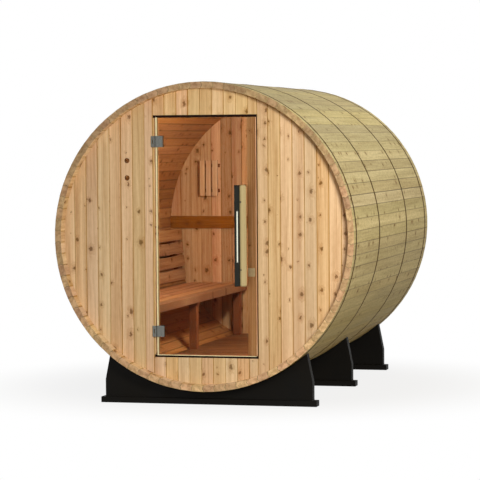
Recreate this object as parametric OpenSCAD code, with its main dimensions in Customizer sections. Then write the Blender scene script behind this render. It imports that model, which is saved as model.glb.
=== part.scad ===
// Barrel sauna: a stave barrel on three cradles, with end walls seated in a croze,
// a frameless glass door on two pin hinges and a slatted bench along the left side.
// Millimetres. The origin is on the ground under the middle of the barrel.
// The door is on the -Y end, +Y runs to the rear and +Z is up.

/* [Barrel] */
// Diameter over the corners of the staves
barrel_dia = 1830; // [1760:10:1960]
// Length of the staves
barrel_len = 2440; // [2200:10:2800]
// Number of staves round the barrel
stave_count = 82; // [64:2:96]
// Thickness of a stave
stave_t = 38; // [34:1:46]
// Gap left in each joint between staves
stave_gap = 0.3; // [0.1:0.1:0.8]
// Radius of the bead along one edge of a stave
bead_r = 12; // [8:0.5:14]
// How far the bead stands out of the stave's edge
bead_out = 6; // [3:0.5:8]
// Clear height under the barrel
ground_clear = 85; // [70:5:140]

/* [Hoops] */
// Width of a steel hoop
hoop_w = 22; // [16:1:30]
// Thickness of a hoop
hoop_t = 1.2; // [0.8:0.1:2]
// Gap between a hoop and the stave corners
hoop_clear = 0.15; // [0.1:0.05:0.3]
// Front hoop, from the front end to its middle
hoop_front_at = 58; // [40:2:75]
// Second hoop, from the front end to its middle
hoop_mid_front_at = 756; // [600:2:900]
// Third hoop, from the front end to its middle
hoop_mid_rear_at = 1656; // [1500:2:1800]
// Rear hoop, from the rear end to its middle
hoop_rear_at = 106; // [60:2:110]

/* [Cradles] */
// Half width of a cradle's foot
foot_half = 664; // [620:2:720]
// Height of the foot
foot_h = 35; // [25:1:50]
// Depth of the foot along the barrel
foot_depth = 74; // [60:2:100]
// How far the foot stands out beyond the plate at each end
foot_out = 26; // [10:2:40]
// Thickness of the cradle's plate
plate_t = 54; // [40:2:70]
// Height of the plate's upright ends
plate_side_h = 140; // [100:5:180]
// Half width of the saddle at its horns
horn_half = 604; // [560:2:630]
// Gap between the saddle and the stave corners
saddle_clear = 0.3; // [0.2:0.1:0.8]
// Front cradle, from the front end to its middle
cradle_front_at = 130; // [120:2:200]
// Middle cradle, from the front end to its middle
cradle_mid_at = 1245; // [1100:5:1350]
// Rear cradle, from the rear end to its middle
cradle_rear_at = 165; // [160:2:240]

/* [End walls] */
// Thickness of an end wall
wall_t = 38; // [30:1:45]
// How far an end wall is set back from the stave ends
wall_recess = 70; // [64:1:110]
// Depth of the croze that holds an end wall
croze_depth = 10; // [6:1:14]
// Gap on each side of an end wall in its croze
croze_clear = 0.3; // [0.2:0.1:0.8]
// Width of a wall board with its joint
board_pitch = 73; // [60:1:90]
// Joint gap between wall boards
board_gap = 0.3; // [0.1:0.1:0.8]
// Bevel on the long edges of a wall board
board_bevel = 2.5; // [1:0.5:5]
// How far the tongue stands out of a wall board's edge
tongue_out = 7; // [5:0.5:9]
// Thickness of the tongue
tongue_t = 9; // [7:0.5:12]
// Gap round the tongue in the next board's groove
tongue_clear = 0.4; // [0.2:0.1:0.8]
// Width of the wall board to the left of the doorway
board_first_left = 53; // [40:1:90]
// Width of the wall board to the right of the doorway
board_first_right = 65; // [40:1:90]
// Diameter of a vent hole
vent_dia = 32; // [20:1:45]
// Distance of the vents from the middle of the wall
vent_x = 480; // [470:1:500]
// Height of the lower vent above the barrel's axis
vent_low = 349; // [300:1:400]
// Distance between the two vents
vent_pitch = 103; // [80:1:140]

/* [Doorway] */
// Width of the doorway in the wall
door_open_w = 640; // [560:2:680]
// Height of wall left above and below the doorway at mid-width
door_wall_over = 166; // [150:2:240]
// Thickness of the glass
glass_t = 8; // [6:1:12]
// How far the glass is set back from the wall's face
glass_set = 3; // [1:0.5:6]
// Gap between the glass and the doorway above, below and at the latch side
edge_gap = 12; // [8:1:18]
// Gap between the glass and the doorway at the hinge side
hinge_gap = 20; // [16:1:26]
// Gap between the glass and the stops behind it
stop_gap = 5; // [5:0.5:8]
// Width of the stop at the latch side
latch_stop_w = 65; // [40:1:75]
// Height of the stop above the glass
head_stop_h = 16; // [14:1:40]
// Height of the threshold
threshold_h = 16; // [14:1:30]
// Width of the hinge jamb beside the glass
jamb_w = 8; // [5:0.5:10]
// Width of the hinge jamb's rebate behind the glass
jamb_rebate_w = 27; // [20:1:34]
// Clear depth behind the hinge clamps
jamb_clear = 5; // [5:0.5:8]
// Width of the catch
catch_w = 44; // [30:1:50]
// Height of the catch
catch_h = 50; // [30:1:70]
// Depth of the catch
catch_t = 12; // [8:1:16]
// Depth of the catch's middle below the barrel's axis
catch_below = 210; // [150:5:260]
// Gap round the catch in its pocket
catch_clear = 0.2; // [0.1:0.1:0.5]

/* [Hinges] */
// Height of a hinge
hinge_h = 66; // [54:1:90]
// Width of the leaf on the wall
leaf_w = 7; // [6:0.5:20]
// Thickness of the leaf on the wall
leaf_t = 6; // [4:0.5:8]
// Radius of a knuckle
knuckle_r = 7; // [6:0.5:9]
// Radius of the hinge pin
pin_r = 3; // [2.5:0.1:4]
// Gap round the pin and between knuckles
pin_clear = 0.3; // [0.2:0.1:0.6]
// Gap between a clamp and the fixed knuckles
knuckle_clear = 1.5; // [1:0.1:2.5]
// How far the pin stands in front of the wall's face
pin_out = 10; // [9:0.5:13]
// Distance from the pin to the edge of the glass
pin_to_glass = 8; // [8:0.5:10]
// Width of the clamp on the glass
clamp_w = 45; // [30:1:60]
// Thickness of the clamp behind the glass
clamp_t = 5; // [3:0.5:7]
// Thickness of the clamp's bridge round the edge of the glass
clamp_bridge_t = 4; // [2:0.5:5]
// Gap between the clamp and the glass
clamp_fit = 0.2; // [0.1:0.1:0.4]
// Distance from the doorway's top or bottom to the middle of a hinge
hinge_in = 156; // [110:2:220]

/* [Handle] */
// Length of the handle
handle_len = 598; // [400:2:800]
// Height of the handle's middle above the barrel's axis
handle_rise = 7; // [0:1:20]
// Width of the outer wooden grip
grip_w = 41; // [35:1:55]
// Depth of a wooden grip
grip_d = 24; // [18:1:30]
// Right edge of the outer grip, from the middle of the doorway
grip_right_x = 263; // [255:1:275]
// Width of the steel bar beside the outer grip
bar_w = 32; // [20:1:40]
// Depth of the steel bar
bar_d = 14; // [10:1:20]
// Stand-off of the outer grip from the glass
grip_off = 30; // [25:1:36]
// Width of the inner grip
inner_grip_w = 40; // [30:1:45]
// Right edge of the inner grip, from the middle of the doorway
inner_grip_right_x = 237; // [233:1:238]
// Stand-off of the inner grip from the glass
inner_grip_off = 36; // [34:1:45]
// Radius of a handle post
post_r = 7; // [5:0.5:9]
// Distance of the posts from the middle of the doorway
post_x = 228; // [224:1:229]
// Height of a post above or below the handle's middle
post_at = 200; // [150:5:250]
// Gap round a post in the glass
post_clear = 0.3; // [0.2:0.1:0.6]

/* [Floor] */
// Height of the floor deck above the lowest point of the barrel
deck_rise = 147; // [135:1:180]
// Half width of the floor deck
deck_half = 405; // [395:1:410]
// Thickness of the deck slats
deck_t = 22; // [18:1:28]
// Width of a deck slat
deck_slat_w = 88; // [60:1:120]
// Gap between deck slats
deck_gap = 10; // [5:1:15]
// Distance of a floor bearer from the middle
bearer_x = 230; // [180:5:280]
// Width of a floor bearer
bearer_w = 45; // [35:1:60]

/* [Bench] */
// Height of the seat above the deck
seat_h = 348; // [320:2:380]
// Distance from the middle of the barrel to the front edge of the seat
seat_front_x = 330; // [310:2:350]
// Number of seat slats
seat_slats = 5; // [3:1:5]
// Gap between the rearmost seat slat and the staves
seat_wall_gap = 18; // [8:1:40]
// Thickness of a seat slat
seat_slat_t = 26; // [20:1:32]
// Gap between seat slats
seat_gap = 9; // [5:1:10]
// Thickness of the lip under the seat's front edge
lip_t = 10; // [6:0.5:14]
// How far the lip hangs below the seat slats
lip_h = 22; // [10:1:30]
// Height of the seat bearers
seat_bearer_h = 45; // [35:1:60]
// Width of the bearers, legs and uprights along the barrel
frame_w = 58; // [40:1:80]
// Setback of the seat bearers behind the lip
seat_bearer_back = 1; // [0.5:0.5:4]
// Setback of the legs behind the seat's front edge
leg_back = 18; // [16:1:20]
// Width of a leg across the barrel
leg_w = 48; // [40:1:52]
// Clear space between the end walls and the slats
bench_end_gap = 3; // [1:0.5:10]
// Distance from an end wall to the middle of the nearest bench frame
frame_end_at = 120; // [80:5:200]
// Middle bench frame, forward of the middle of the barrel
frame_mid_at = 100; // [0:5:200]

/* [Backrest] */
// Number of backrest slats
back_slats = 4; // [2:1:4]
// Width of a backrest slat
back_slat_w = 78; // [60:1:80]
// Thickness of a backrest slat
back_slat_t = 18; // [14:1:22]
// Gap between backrest slats
back_gap = 14; // [8:1:16]
// Gap between the seat and the backrest
back_above_seat = 26; // [20:1:40]
// Recline of the backrest in degrees
recline = 5; // [2:0.5:6]
// Clear space between the end walls and the backrest
back_end_gap = 42; // [35:1:70]
// Gap between the lowest backrest slat and the staves
back_clear = 6; // [2:0.5:10]
// Gap between the staves and the pieces cut to their curve
curve_clear = 0.3; // [0.2:0.1:0.6]

/* [Rear wall fittings] */
// Height of the batten across the rear wall
batten_h = 84; // [60:1:100]
// Thickness of the batten
batten_t = 20; // [15:1:28]
// Number of lamp shade slats
lamp_slats_n = 3; // [2:1:4]
// Width of a lamp shade slat
lamp_slat_w = 37; // [30:1:45]
// Gap between lamp shade slats
lamp_gap = 8; // [6:1:16]
// Thickness of a lamp shade slat
lamp_slat_t = 14; // [10:1:20]
// Height of the lamp shade
lamp_h = 245; // [200:5:300]
// Gap between the lamp shade's upper corner and the staves
lamp_wall_gap = 100; // [40:1:140]
// Height of the lamp shade's middle above the barrel's axis
lamp_at = 306; // [260:1:320]
// Depth of the lamp shade's rails
lamp_rail_d = 55; // [40:1:80]
// Height of a lamp shade rail
lamp_rail_h = 24; // [15:1:35]
// Distance from the ends of the slats to a rail
lamp_rail_in = 24; // [10:1:40]

/* [Hidden] */
$fn = 96;
// Sides of the large circles round the barrel's axis
AXIS_SIDES = 240;
// How far a cutting shape runs past what it cuts
CUT_OVER = 5;

// Barrel
barrel_r = barrel_dia / 2;
axis_h = ground_clear + barrel_r;
stave_deg = 360 / stave_count;
stave_out = barrel_r * cos(stave_deg / 2);
stave_in = stave_out - stave_t;
stave_mid = (stave_out + stave_in) / 2;
room_r = stave_in - curve_clear;
STAVE_GROUPS = 8;

// End walls
wall_r = stave_in + croze_depth - croze_clear;
front_y = -barrel_len / 2;
face_y = front_y + wall_recess;
inner_front_y = face_y + wall_t;
rear_face_y = barrel_len / 2 - wall_recess;
inner_rear_y = rear_face_y - wall_t;
room_len = inner_rear_y - inner_front_y;
croze_over = 2;

// Doorway and door
door_x = door_open_w / 2;
door_open_h = 2 * (wall_r - door_wall_over);
door_bottom = axis_h - door_open_h / 2;
door_top = axis_h + door_open_h / 2;
glass_front_y = face_y + glass_set;
glass_back_y = glass_front_y + glass_t;
glass_left_x = -door_x + hinge_gap;
glass_right_x = door_x - edge_gap;
glass_w = glass_right_x - glass_left_x;
glass_h = door_open_h - 2 * edge_gap;
stop_y = glass_back_y + stop_gap;
stop_t = inner_front_y - stop_y;
rebate_y = glass_back_y + clamp_t + jamb_clear;
latch_stop_x = door_x - latch_stop_w;
pin_x = glass_left_x - pin_to_glass;
pin_y = face_y - pin_out;
knuckle_h = hinge_h / 3;
clamp_front_y = pin_y + leaf_t / 2;
upper_hinge_z = door_top - hinge_in;
lower_hinge_z = door_bottom + hinge_in;
handle_z = axis_h + handle_rise;

// Floor and bench
deck_top = ground_clear + deck_rise;
deck_bottom = deck_top - deck_t;
seat_top = deck_top + seat_h;
seat_bottom = seat_top - seat_slat_t;
seat_bearer_z = seat_bottom - seat_bearer_h;
seat_back_x = sqrt(pow(room_r, 2) - pow(axis_h - seat_bottom, 2)) - seat_wall_gap;
seat_pitch = (seat_back_x - seat_front_x + seat_gap) / seat_slats;
seat_slat_w = seat_pitch - seat_gap;
frame_ys = [inner_front_y + frame_end_at, -frame_mid_at, inner_rear_y - frame_end_at];
back_z = seat_top + back_above_seat;
back_foot_r = room_r - back_clear;
back_x = sqrt(pow(back_foot_r, 2) - pow(axis_h - back_z, 2)) - back_slat_t;
back_pitch = back_slat_w + back_gap;
back_len = back_slats * back_pitch - back_gap;

// Lamp shade, held to the rear wall with its upper corner clear of the staves
lamp_pitch = lamp_slat_w + lamp_gap;
lamp_w = lamp_slats_n * lamp_pitch - lamp_gap;
lamp_z = axis_h + lamp_at;
lamp_corner_r = room_r - lamp_wall_gap;
lamp_x = sqrt(pow(lamp_corner_r, 2) - pow(lamp_at + lamp_h / 2, 2)) - lamp_w / 2;

// Positions of the board joints from the doorway out to the edge of the wall
function seams_beside(first) =
  let (n = round((wall_r - door_x - first) / board_pitch))
  concat([door_x], [for (i = [0:n - 1]) door_x + first + i * board_pitch], [wall_r]);

// Positions of the board joints across the doorway
function seams_across() =
  let (n = round(door_open_w / board_pitch))
  concat([for (i = [0:n - 1]) -door_x + i * board_pitch], [door_x]);

// Positions of the board joints from the middle of a wall out to its edge
function seams_half() =
  let (n = round(wall_r / board_pitch))
  concat([for (i = [0:n - 1]) i * board_pitch], [wall_r]);

// Which of the groups round the barrel a stave belongs to, clockwise from the crown
function group_of(k) =
  floor(((k + stave_count / (2 * STAVE_GROUPS)) % stave_count) * STAVE_GROUPS / stave_count);

// A disc or cylinder along Y, centred on the barrel's axis
module on_axis(r, y0, y1) {
  translate([0, y1, axis_h]) rotate([90, 0, 0]) cylinder(r = r, h = y1 - y0, $fn = AXIS_SIDES);
}

// A box given by its two corners
module box(a, b) {
  translate(a) cube(b - a);
}

// Cuts its children to the curve of the room
module in_room() {
  intersection() {
    children();
    on_axis(room_r, inner_front_y, inner_rear_y);
  }
}

// Cross-section of a stave: flat faces, a bead on one edge and a cove on the other
module stave_profile() {
  half = stave_deg / 2;
  trim = stave_gap / 2 / cos(half);
  wo = stave_out * tan(half) - trim;
  wi = stave_in * tan(half) - trim;
  difference() {
    union() {
      polygon([[-wi, stave_in], [wi, stave_in], [wo, stave_out], [-wo, stave_out]]);
      rotate(-half) translate([bead_out - bead_r, stave_mid]) circle(bead_r);
    }
    rotate(half) translate([bead_out - bead_r, stave_mid]) circle(bead_r + stave_gap);
  }
}

module croze_cut(y) {
  width = wall_t + 2 * croze_clear;
  translate([0, y, stave_in + (croze_depth - croze_over) / 2])
    cube([stave_out, width, croze_depth + croze_over], center = true);
}

module stave(k) {
  rotate([0, (k + 0.5) * stave_deg, 0])
    difference() {
      rotate([90, 0, 0]) linear_extrude(barrel_len, center = true) stave_profile();
      croze_cut(face_y + wall_t / 2);
      croze_cut(rear_face_y - wall_t / 2);
    }
}

module stave_group(g) {
  color("burlywood") translate([0, 0, axis_h])
    for (k = [0:stave_count - 1]) if (group_of(k) == g) stave(k);
}

module hoop(y) {
  inner = barrel_r + hoop_clear;
  color("dimgray") difference() {
    on_axis(inner + hoop_t, y - hoop_w / 2, y + hoop_w / 2);
    on_axis(inner, y - hoop_w / 2 - CUT_OVER, y + hoop_w / 2 + CUT_OVER);
  }
}

// Outline of a cradle's plate, before the saddle is cut
module cradle_outline() {
  side = foot_half - foot_out;
  horn_z = axis_h - sqrt(pow(barrel_r, 2) - pow(horn_half, 2));
  polygon([[-side, 0], [side, 0], [side, plate_side_h], [horn_half, horn_z],
           [-horn_half, horn_z], [-side, plate_side_h]]);
}

module cradle(y) {
  color([0.08, 0.08, 0.08]) difference() {
    translate([0, y, 0]) union() {
      rotate([90, 0, 0]) linear_extrude(plate_t, center = true) cradle_outline();
      translate([0, 0, foot_h / 2]) cube([2 * foot_half, foot_depth, foot_h], center = true);
    }
    on_axis(barrel_r + saddle_clear, y - foot_depth / 2 - CUT_OVER, y + foot_depth / 2 + CUT_OVER);
  }
}

// Cross-section of a wall board from x0 to x1: bevelled edges, a tongue at x1 and a groove at x0
module board_profile(x0, x1, tongue, groove) {
  a = x0 + board_gap / 2;
  b = x1 - board_gap / 2;
  v = board_bevel;
  difference() {
    union() {
      polygon([[a + v, 0], [b - v, 0], [b, v], [b, wall_t - v],
               [b - v, wall_t], [a + v, wall_t], [a, wall_t - v], [a, v]]);
      if (tongue) translate([b - v, (wall_t - tongue_t) / 2]) square([tongue_out + v, tongue_t]);
    }
    if (groove) translate([a - tongue_clear, (wall_t - tongue_t) / 2 - tongue_clear])
      square([tongue_out + 2 * tongue_clear, tongue_t + 2 * tongue_clear]);
  }
}

// Upright boards between the joints given, tongued into each other and cut to the wall's circle
module wall_boards(seams, y0, z0, z1) {
  last = len(seams) - 2;
  for (i = [0:last]) intersection() {
    translate([0, y0, z0]) linear_extrude(z1 - z0)
      board_profile(seams[i], seams[i + 1], i < last, i > 0);
    on_axis(wall_r, y0, y0 + wall_t);
  }
}

module vent_holes() {
  for (i = [0, 1])
    translate([-vent_x, inner_front_y + CUT_OVER, axis_h + vent_low + i * vent_pitch])
      rotate([90, 0, 0]) cylinder(d = vent_dia, h = wall_t + 2 * CUT_OVER);
}

module front_wall_left() {
  color("tan") difference() {
    mirror([1, 0, 0]) wall_boards(seams_beside(board_first_left), face_y, ground_clear, 2 * axis_h);
    vent_holes();
  }
}

module front_wall_right() {
  color("tan") wall_boards(seams_beside(board_first_right), face_y, ground_clear, 2 * axis_h);
}

module front_wall_over_door() {
  color("tan") wall_boards(seams_across(), face_y, door_top, 2 * axis_h);
}

module front_wall_under_door() {
  color("tan") wall_boards(seams_across(), face_y, ground_clear, door_bottom);
}

module rear_wall_right() {
  color("tan") wall_boards(seams_half(), inner_rear_y, ground_clear, 2 * axis_h);
}

module rear_wall_left() {
  mirror([1, 0, 0]) rear_wall_right();
}

module rear_batten() {
  color("peru") in_room()
    translate([0, inner_rear_y - batten_t / 2, axis_h])
      cube([barrel_dia, batten_t, batten_h], center = true);
}

module lamp_rails() {
  rail_z = lamp_h / 2 - lamp_rail_in - lamp_rail_h / 2;
  color("peru") for (s = [-1, 1])
    translate([-lamp_x, inner_rear_y - lamp_rail_d / 2, lamp_z + s * rail_z])
      cube([lamp_w, lamp_rail_d, lamp_rail_h], center = true);
}

module lamp_slats() {
  y = inner_rear_y - lamp_rail_d - lamp_slat_t / 2;
  color("sandybrown") for (i = [0:lamp_slats_n - 1])
    translate([-lamp_x + (i - (lamp_slats_n - 1) / 2) * lamp_pitch, y, lamp_z])
      cube([lamp_slat_w, lamp_slat_t, lamp_h], center = true);
}

// L-shaped jamb: a strip beside the glass and a rebate behind it
module hinge_jamb() {
  bottom = door_bottom + threshold_h;
  top = door_top - head_stop_h;
  color("tan") translate([0, 0, bottom]) linear_extrude(top - bottom)
    polygon([[-door_x, face_y], [-door_x + jamb_w, face_y], [-door_x + jamb_w, rebate_y],
             [-door_x + jamb_rebate_w, rebate_y], [-door_x + jamb_rebate_w, inner_front_y],
             [-door_x, inner_front_y]]);
}

module catch_box(grow) {
  x = latch_stop_x + catch_w / 2;
  translate([x, stop_y + catch_t / 2, axis_h - catch_below])
    cube([catch_w + 2 * grow, catch_t + 2 * grow, catch_h + 2 * grow], center = true);
}

module latch_stop() {
  color("peru") difference() {
    box([latch_stop_x, stop_y, door_bottom], [door_x, stop_y + stop_t, door_top]);
    catch_box(catch_clear);
  }
}

module door_catch() {
  color("wheat") catch_box(0);
}

module head_stop() {
  color("peru") box([-door_x, stop_y, door_top - head_stop_h],
                    [latch_stop_x, stop_y + stop_t, door_top]);
}

module threshold() {
  color("peru") box([-door_x, stop_y, door_bottom],
                    [latch_stop_x, stop_y + stop_t, door_bottom + threshold_h]);
}

module floor_slats() {
  pitch = deck_slat_w + deck_gap;
  n = floor((room_len - deck_gap) / pitch);
  start = -(n * pitch - deck_gap) / 2;
  color("peru") for (i = [0:n - 1]) in_room()
    box([-deck_half, start + i * pitch, deck_bottom],
        [deck_half, start + i * pitch + deck_slat_w, deck_top]);
}

module floor_bearers() {
  color("sienna") for (s = [-1, 1]) in_room()
    translate([s * bearer_x, 0, deck_bottom / 2]) cube([bearer_w, room_len, deck_bottom], center = true);
}

module seat_slats_left() {
  color("peru") for (i = [0:seat_slats - 1])
    box([-seat_front_x - i * seat_pitch - seat_slat_w, inner_front_y + bench_end_gap, seat_bottom],
        [-seat_front_x - i * seat_pitch, inner_rear_y - bench_end_gap, seat_top]);
  color("peru") box([-seat_front_x - lip_t, inner_front_y + bench_end_gap, seat_bottom - lip_h],
                    [-seat_front_x, inner_rear_y - bench_end_gap, seat_top]);
}

module seat_bearers() {
  color("sienna") for (y = frame_ys) in_room()
    box([-barrel_r, y - frame_w / 2, seat_bearer_z],
        [-seat_front_x - lip_t - seat_bearer_back, y + frame_w / 2, seat_bottom]);
}

module seat_legs() {
  x = -seat_front_x - leg_back;
  color("sienna") for (y = frame_ys)
    box([x - leg_w, y - frame_w / 2, deck_top], [x, y + frame_w / 2, seat_bearer_z]);
}

// The backrest's own frame: z runs up its slope and x points into the room
module on_backrest() {
  translate([-back_x, 0, back_z]) rotate([0, -recline, 0]) children();
}

module backrest_slats() {
  color("peru") on_backrest() for (i = [0:back_slats - 1])
    box([-back_slat_t, inner_front_y + back_end_gap, i * back_pitch],
        [0, inner_rear_y - back_end_gap, i * back_pitch + back_slat_w]);
}

module backrest_uprights() {
  color("sienna") for (y = frame_ys) in_room() on_backrest()
    box([-barrel_r / 2, y - frame_w / 2, 0], [-back_slat_t, y + frame_w / 2, back_len]);
}

module knuckle(z, r) {
  translate([pin_x, pin_y, z - knuckle_h / 2 + pin_clear])
    cylinder(r = r, h = knuckle_h - 2 * pin_clear);
}

// Fixed half of a hinge: the leaf on the wall, two knuckles and the pin
module hinge_leaf(z) {
  color("silver") {
    box([-door_x - leaf_w, face_y - leaf_t, z - hinge_h / 2],
        [-door_x - pin_clear, face_y, z + hinge_h / 2]);
    for (s = [-1, 1]) {
      knuckle(z + s * knuckle_h, knuckle_r);
      translate([0, 0, z + s * knuckle_h - knuckle_h / 2 + pin_clear])
        linear_extrude(knuckle_h - 2 * pin_clear)
          polygon([[-door_x - leaf_w, face_y - leaf_t], [pin_x, face_y - leaf_t - pin_clear],
                   [pin_x, face_y - pin_clear], [-door_x - leaf_w, face_y]]);
    }
    translate([pin_x, pin_y, z - hinge_h / 2 + pin_clear])
      cylinder(r = pin_r, h = hinge_h - 2 * pin_clear);
  }
}

// Moving half of a hinge: a knuckle and a clamp folded round the edge of the glass
module hinge_clamp(z) {
  x0 = glass_left_x - clamp_fit - clamp_bridge_t;
  x1 = glass_left_x + clamp_w;
  back_y = glass_back_y + clamp_fit + clamp_t;
  color("silver") difference() {
    union() {
      difference() {
        box([x0, clamp_front_y, z - hinge_h / 2], [x1, back_y, z + hinge_h / 2]);
        box([glass_left_x - clamp_fit, glass_front_y - clamp_fit, z - hinge_h],
            [x1 + clamp_w, glass_back_y + clamp_fit, z + hinge_h]);
        for (s = [-1, 1]) translate([pin_x, pin_y, z + s * knuckle_h - knuckle_h / 2 - pin_clear])
          cylinder(r = knuckle_r + knuckle_clear, h = knuckle_h + 2 * pin_clear);
      }
      knuckle(z, knuckle_r);
      box([pin_x, pin_y, z - knuckle_h / 2 + pin_clear],
          [glass_left_x, glass_front_y - clamp_fit, z + knuckle_h / 2 - pin_clear]);
    }
    translate([pin_x, pin_y, z - hinge_h]) cylinder(r = pin_r + pin_clear, h = 2 * hinge_h);
  }
}

module door_glass() {
  color([0.55, 0.36, 0.22, 0.5]) difference() {
    box([glass_left_x, glass_front_y, axis_h - glass_h / 2],
        [glass_right_x, glass_back_y, axis_h + glass_h / 2]);
    at_posts(glass_back_y + CUT_OVER) cylinder(r = post_r + post_clear, h = glass_t + 2 * CUT_OVER);
  }
}

// Puts its child at both handle posts, pointing to the front from y
module at_posts(y) {
  for (s = [-1, 1]) translate([post_x, y, handle_z + s * post_at]) rotate([90, 0, 0]) children();
}

module handle_posts() {
  color("silver") at_posts(glass_back_y + inner_grip_off)
    cylinder(r = post_r, h = glass_t + inner_grip_off + grip_off);
}

module handle_grip() {
  y = glass_front_y - grip_off;
  color("wheat") box([grip_right_x - grip_w, y - grip_d, handle_z - handle_len / 2],
                     [grip_right_x, y, handle_z + handle_len / 2]);
}

module handle_bar() {
  y = glass_front_y - grip_off - grip_d / 2;
  right = grip_right_x - grip_w;
  color("silver") box([right - bar_w, y - bar_d / 2, handle_z - handle_len / 2],
                      [right, y + bar_d / 2, handle_z + handle_len / 2]);
}

module handle_inner_grip() {
  y = glass_back_y + inner_grip_off;
  color("wheat") box([inner_grip_right_x - inner_grip_w, y, handle_z - handle_len / 2],
                     [inner_grip_right_x, y + grip_d, handle_z + handle_len / 2]);
}

cradle(front_y + cradle_front_at);  // cradle_front
cradle(front_y + cradle_mid_at);  // cradle_middle
cradle(-front_y - cradle_rear_at);  // cradle_rear
stave_group(0);  // staves_crown
stave_group(1);  // staves_upper_right
stave_group(2);  // staves_right
stave_group(3);  // staves_lower_right
stave_group(4);  // staves_bottom
stave_group(5);  // staves_lower_left
stave_group(6);  // staves_left
stave_group(7);  // staves_upper_left
hoop(front_y + hoop_front_at);  // hoop_front
hoop(front_y + hoop_mid_front_at);  // hoop_mid_front
hoop(front_y + hoop_mid_rear_at);  // hoop_mid_rear
hoop(-front_y - hoop_rear_at);  // hoop_rear
front_wall_left();
front_wall_right();
front_wall_over_door();
front_wall_under_door();
rear_wall_left();
rear_wall_right();
rear_batten();
lamp_rails();
lamp_slats();
hinge_jamb();
latch_stop();
head_stop();
threshold();
door_catch();
floor_slats();
floor_bearers();
seat_slats_left();
seat_bearers();
seat_legs();
backrest_slats();
backrest_uprights();
hinge_leaf(upper_hinge_z);  // hinge_upper_leaf
hinge_leaf(lower_hinge_z);  // hinge_lower_leaf
hinge_clamp(upper_hinge_z);  // hinge_upper_clamp
hinge_clamp(lower_hinge_z);  // hinge_lower_clamp
door_glass();
handle_posts();
handle_bar();
handle_grip();
handle_inner_grip();
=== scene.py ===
"""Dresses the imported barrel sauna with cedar, steel, glass and paint, and stages it for a photograph."""

import math
import random

import bmesh
import bpy
from mathutils import Matrix, Vector


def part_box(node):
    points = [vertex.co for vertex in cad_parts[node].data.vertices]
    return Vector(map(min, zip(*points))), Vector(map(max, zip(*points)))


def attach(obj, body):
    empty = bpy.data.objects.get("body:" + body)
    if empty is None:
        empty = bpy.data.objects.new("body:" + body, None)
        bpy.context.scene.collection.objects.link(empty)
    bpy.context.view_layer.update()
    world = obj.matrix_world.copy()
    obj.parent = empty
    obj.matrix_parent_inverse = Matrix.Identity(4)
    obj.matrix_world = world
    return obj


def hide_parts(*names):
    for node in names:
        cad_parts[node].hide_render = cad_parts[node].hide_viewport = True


bl_info = {
    "name": "Barrel sauna looks",
    "version": (1, 0, 0),
    "blender": (4, 5, 0),
    "location": "3D View > Sidebar > Sauna",
    "description": "Builds the boards, hoops, door and bench of a barrel sauna round its packed frame",
    "category": "Object",
}

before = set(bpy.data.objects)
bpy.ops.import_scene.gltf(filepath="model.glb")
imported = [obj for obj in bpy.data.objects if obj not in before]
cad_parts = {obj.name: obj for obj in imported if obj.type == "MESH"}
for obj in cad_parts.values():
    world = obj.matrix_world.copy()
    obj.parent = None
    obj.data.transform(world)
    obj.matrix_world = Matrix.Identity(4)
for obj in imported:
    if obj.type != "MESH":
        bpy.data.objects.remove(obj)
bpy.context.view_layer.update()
ROOT = "sauna"
DOOR = "door"
MM = 0.001
STAVE_NODES = (
    "staves_crown", "staves_upper_right", "staves_right", "staves_lower_right",
    "staves_bottom", "staves_lower_left", "staves_left", "staves_upper_left",
)
HOOP_NODES = ("hoop_front", "hoop_mid_front", "hoop_mid_rear", "hoop_rear")
CROWN_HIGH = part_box("staves_crown")[1]
BOTTOM_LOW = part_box("staves_bottom")[0]
AXIS_Z = (CROWN_HIGH.z + BOTTOM_LOW.z) / 2
BARREL_R = (CROWN_HIGH.z - BOTTOM_LOW.z) / 2

# Noise seldom leaves this range, so patterns are stretched from it.
NOISE_LOW, NOISE_HIGH = 0.3, 0.7
# Patterns of planed cedar: width and length of a feature and its detail. The fibres are drawn about
# 8 mm wide, coarser than real ones, so that they show at the photograph's distance.
GRAIN_DRIFT = (42 * MM, 1430 * MM, 2.0)
GRAIN_FIBRE = (7.7 * MM, 455 * MM, 3.0)
GRAIN_FLECK = (14 * MM, 42 * MM, 3.0)
# How far apart in the pattern two boards may be cut.
LOG_STEP = (13.7, 57.3, 0.0)
# Knots: size of the ragged noise, how far it pushes their edge, and their width over their length.
KNOT_RAG = 13 * MM
KNOT_PUSH = 22 * MM
KNOT_STRETCH = 0.7
# Radius of the smallest and largest knot as a share of a cell, and reach of heart and halo in radii.
KNOT_SMALL, KNOT_LARGE = 0.004, 0.18
KNOT_CORE = (0.55, 1.15)
KNOT_HALO = (0.9, 3.4)
# Shares of the drift, of a knot's halo and of its heart in the colour of a board.
DRIFT_PART, HALO_PART, CORE_PART = 0.36, 0.4, 0.8
# How far the drift and a halo push the lines of the grain, counted in lines.
DRIFT_BEND, HALO_BEND = 2.0, 1.5
# Range of a board's hue before its tint, and how much the tint changes its saturation.
HUE_LOW, HUE_HIGH = 0.498, 0.499
TINT_RICH = 12
# Least shade in a joint.
JOINT_PALE = 0.95
# How far in from the edge of a board its shade reaches.
JOINT_SHADE = 1.5 * MM
# How far a joint's shade reaches in on each stave in the room.
ROOM_JOINT = 3 * MM
# Limits for the copies of CAD meshes: vertices this near are one, and faces this flat are one.
WELD_REACH = 0.02 * MM
FLAT_ANGLE = math.radians(0.5)
# Vertices this near to the low side of a board lie on the face that its width is taken from.
FACE_REACH = 0.05 * MM
# Edges sharper than this are eased, and edges sharper than the crease keep a hard shade.
SHARP_ANGLE = math.radians(28)
CREASE_ANGLE = math.radians(50)
# Places of the finishes in the list of a stave's materials.
END_FINISH, ROOM_FINISH, LIP_FINISH = 1, 2, 3
# The way out of the front wall.
FORWARD = Vector((0, -1, 0))


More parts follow.
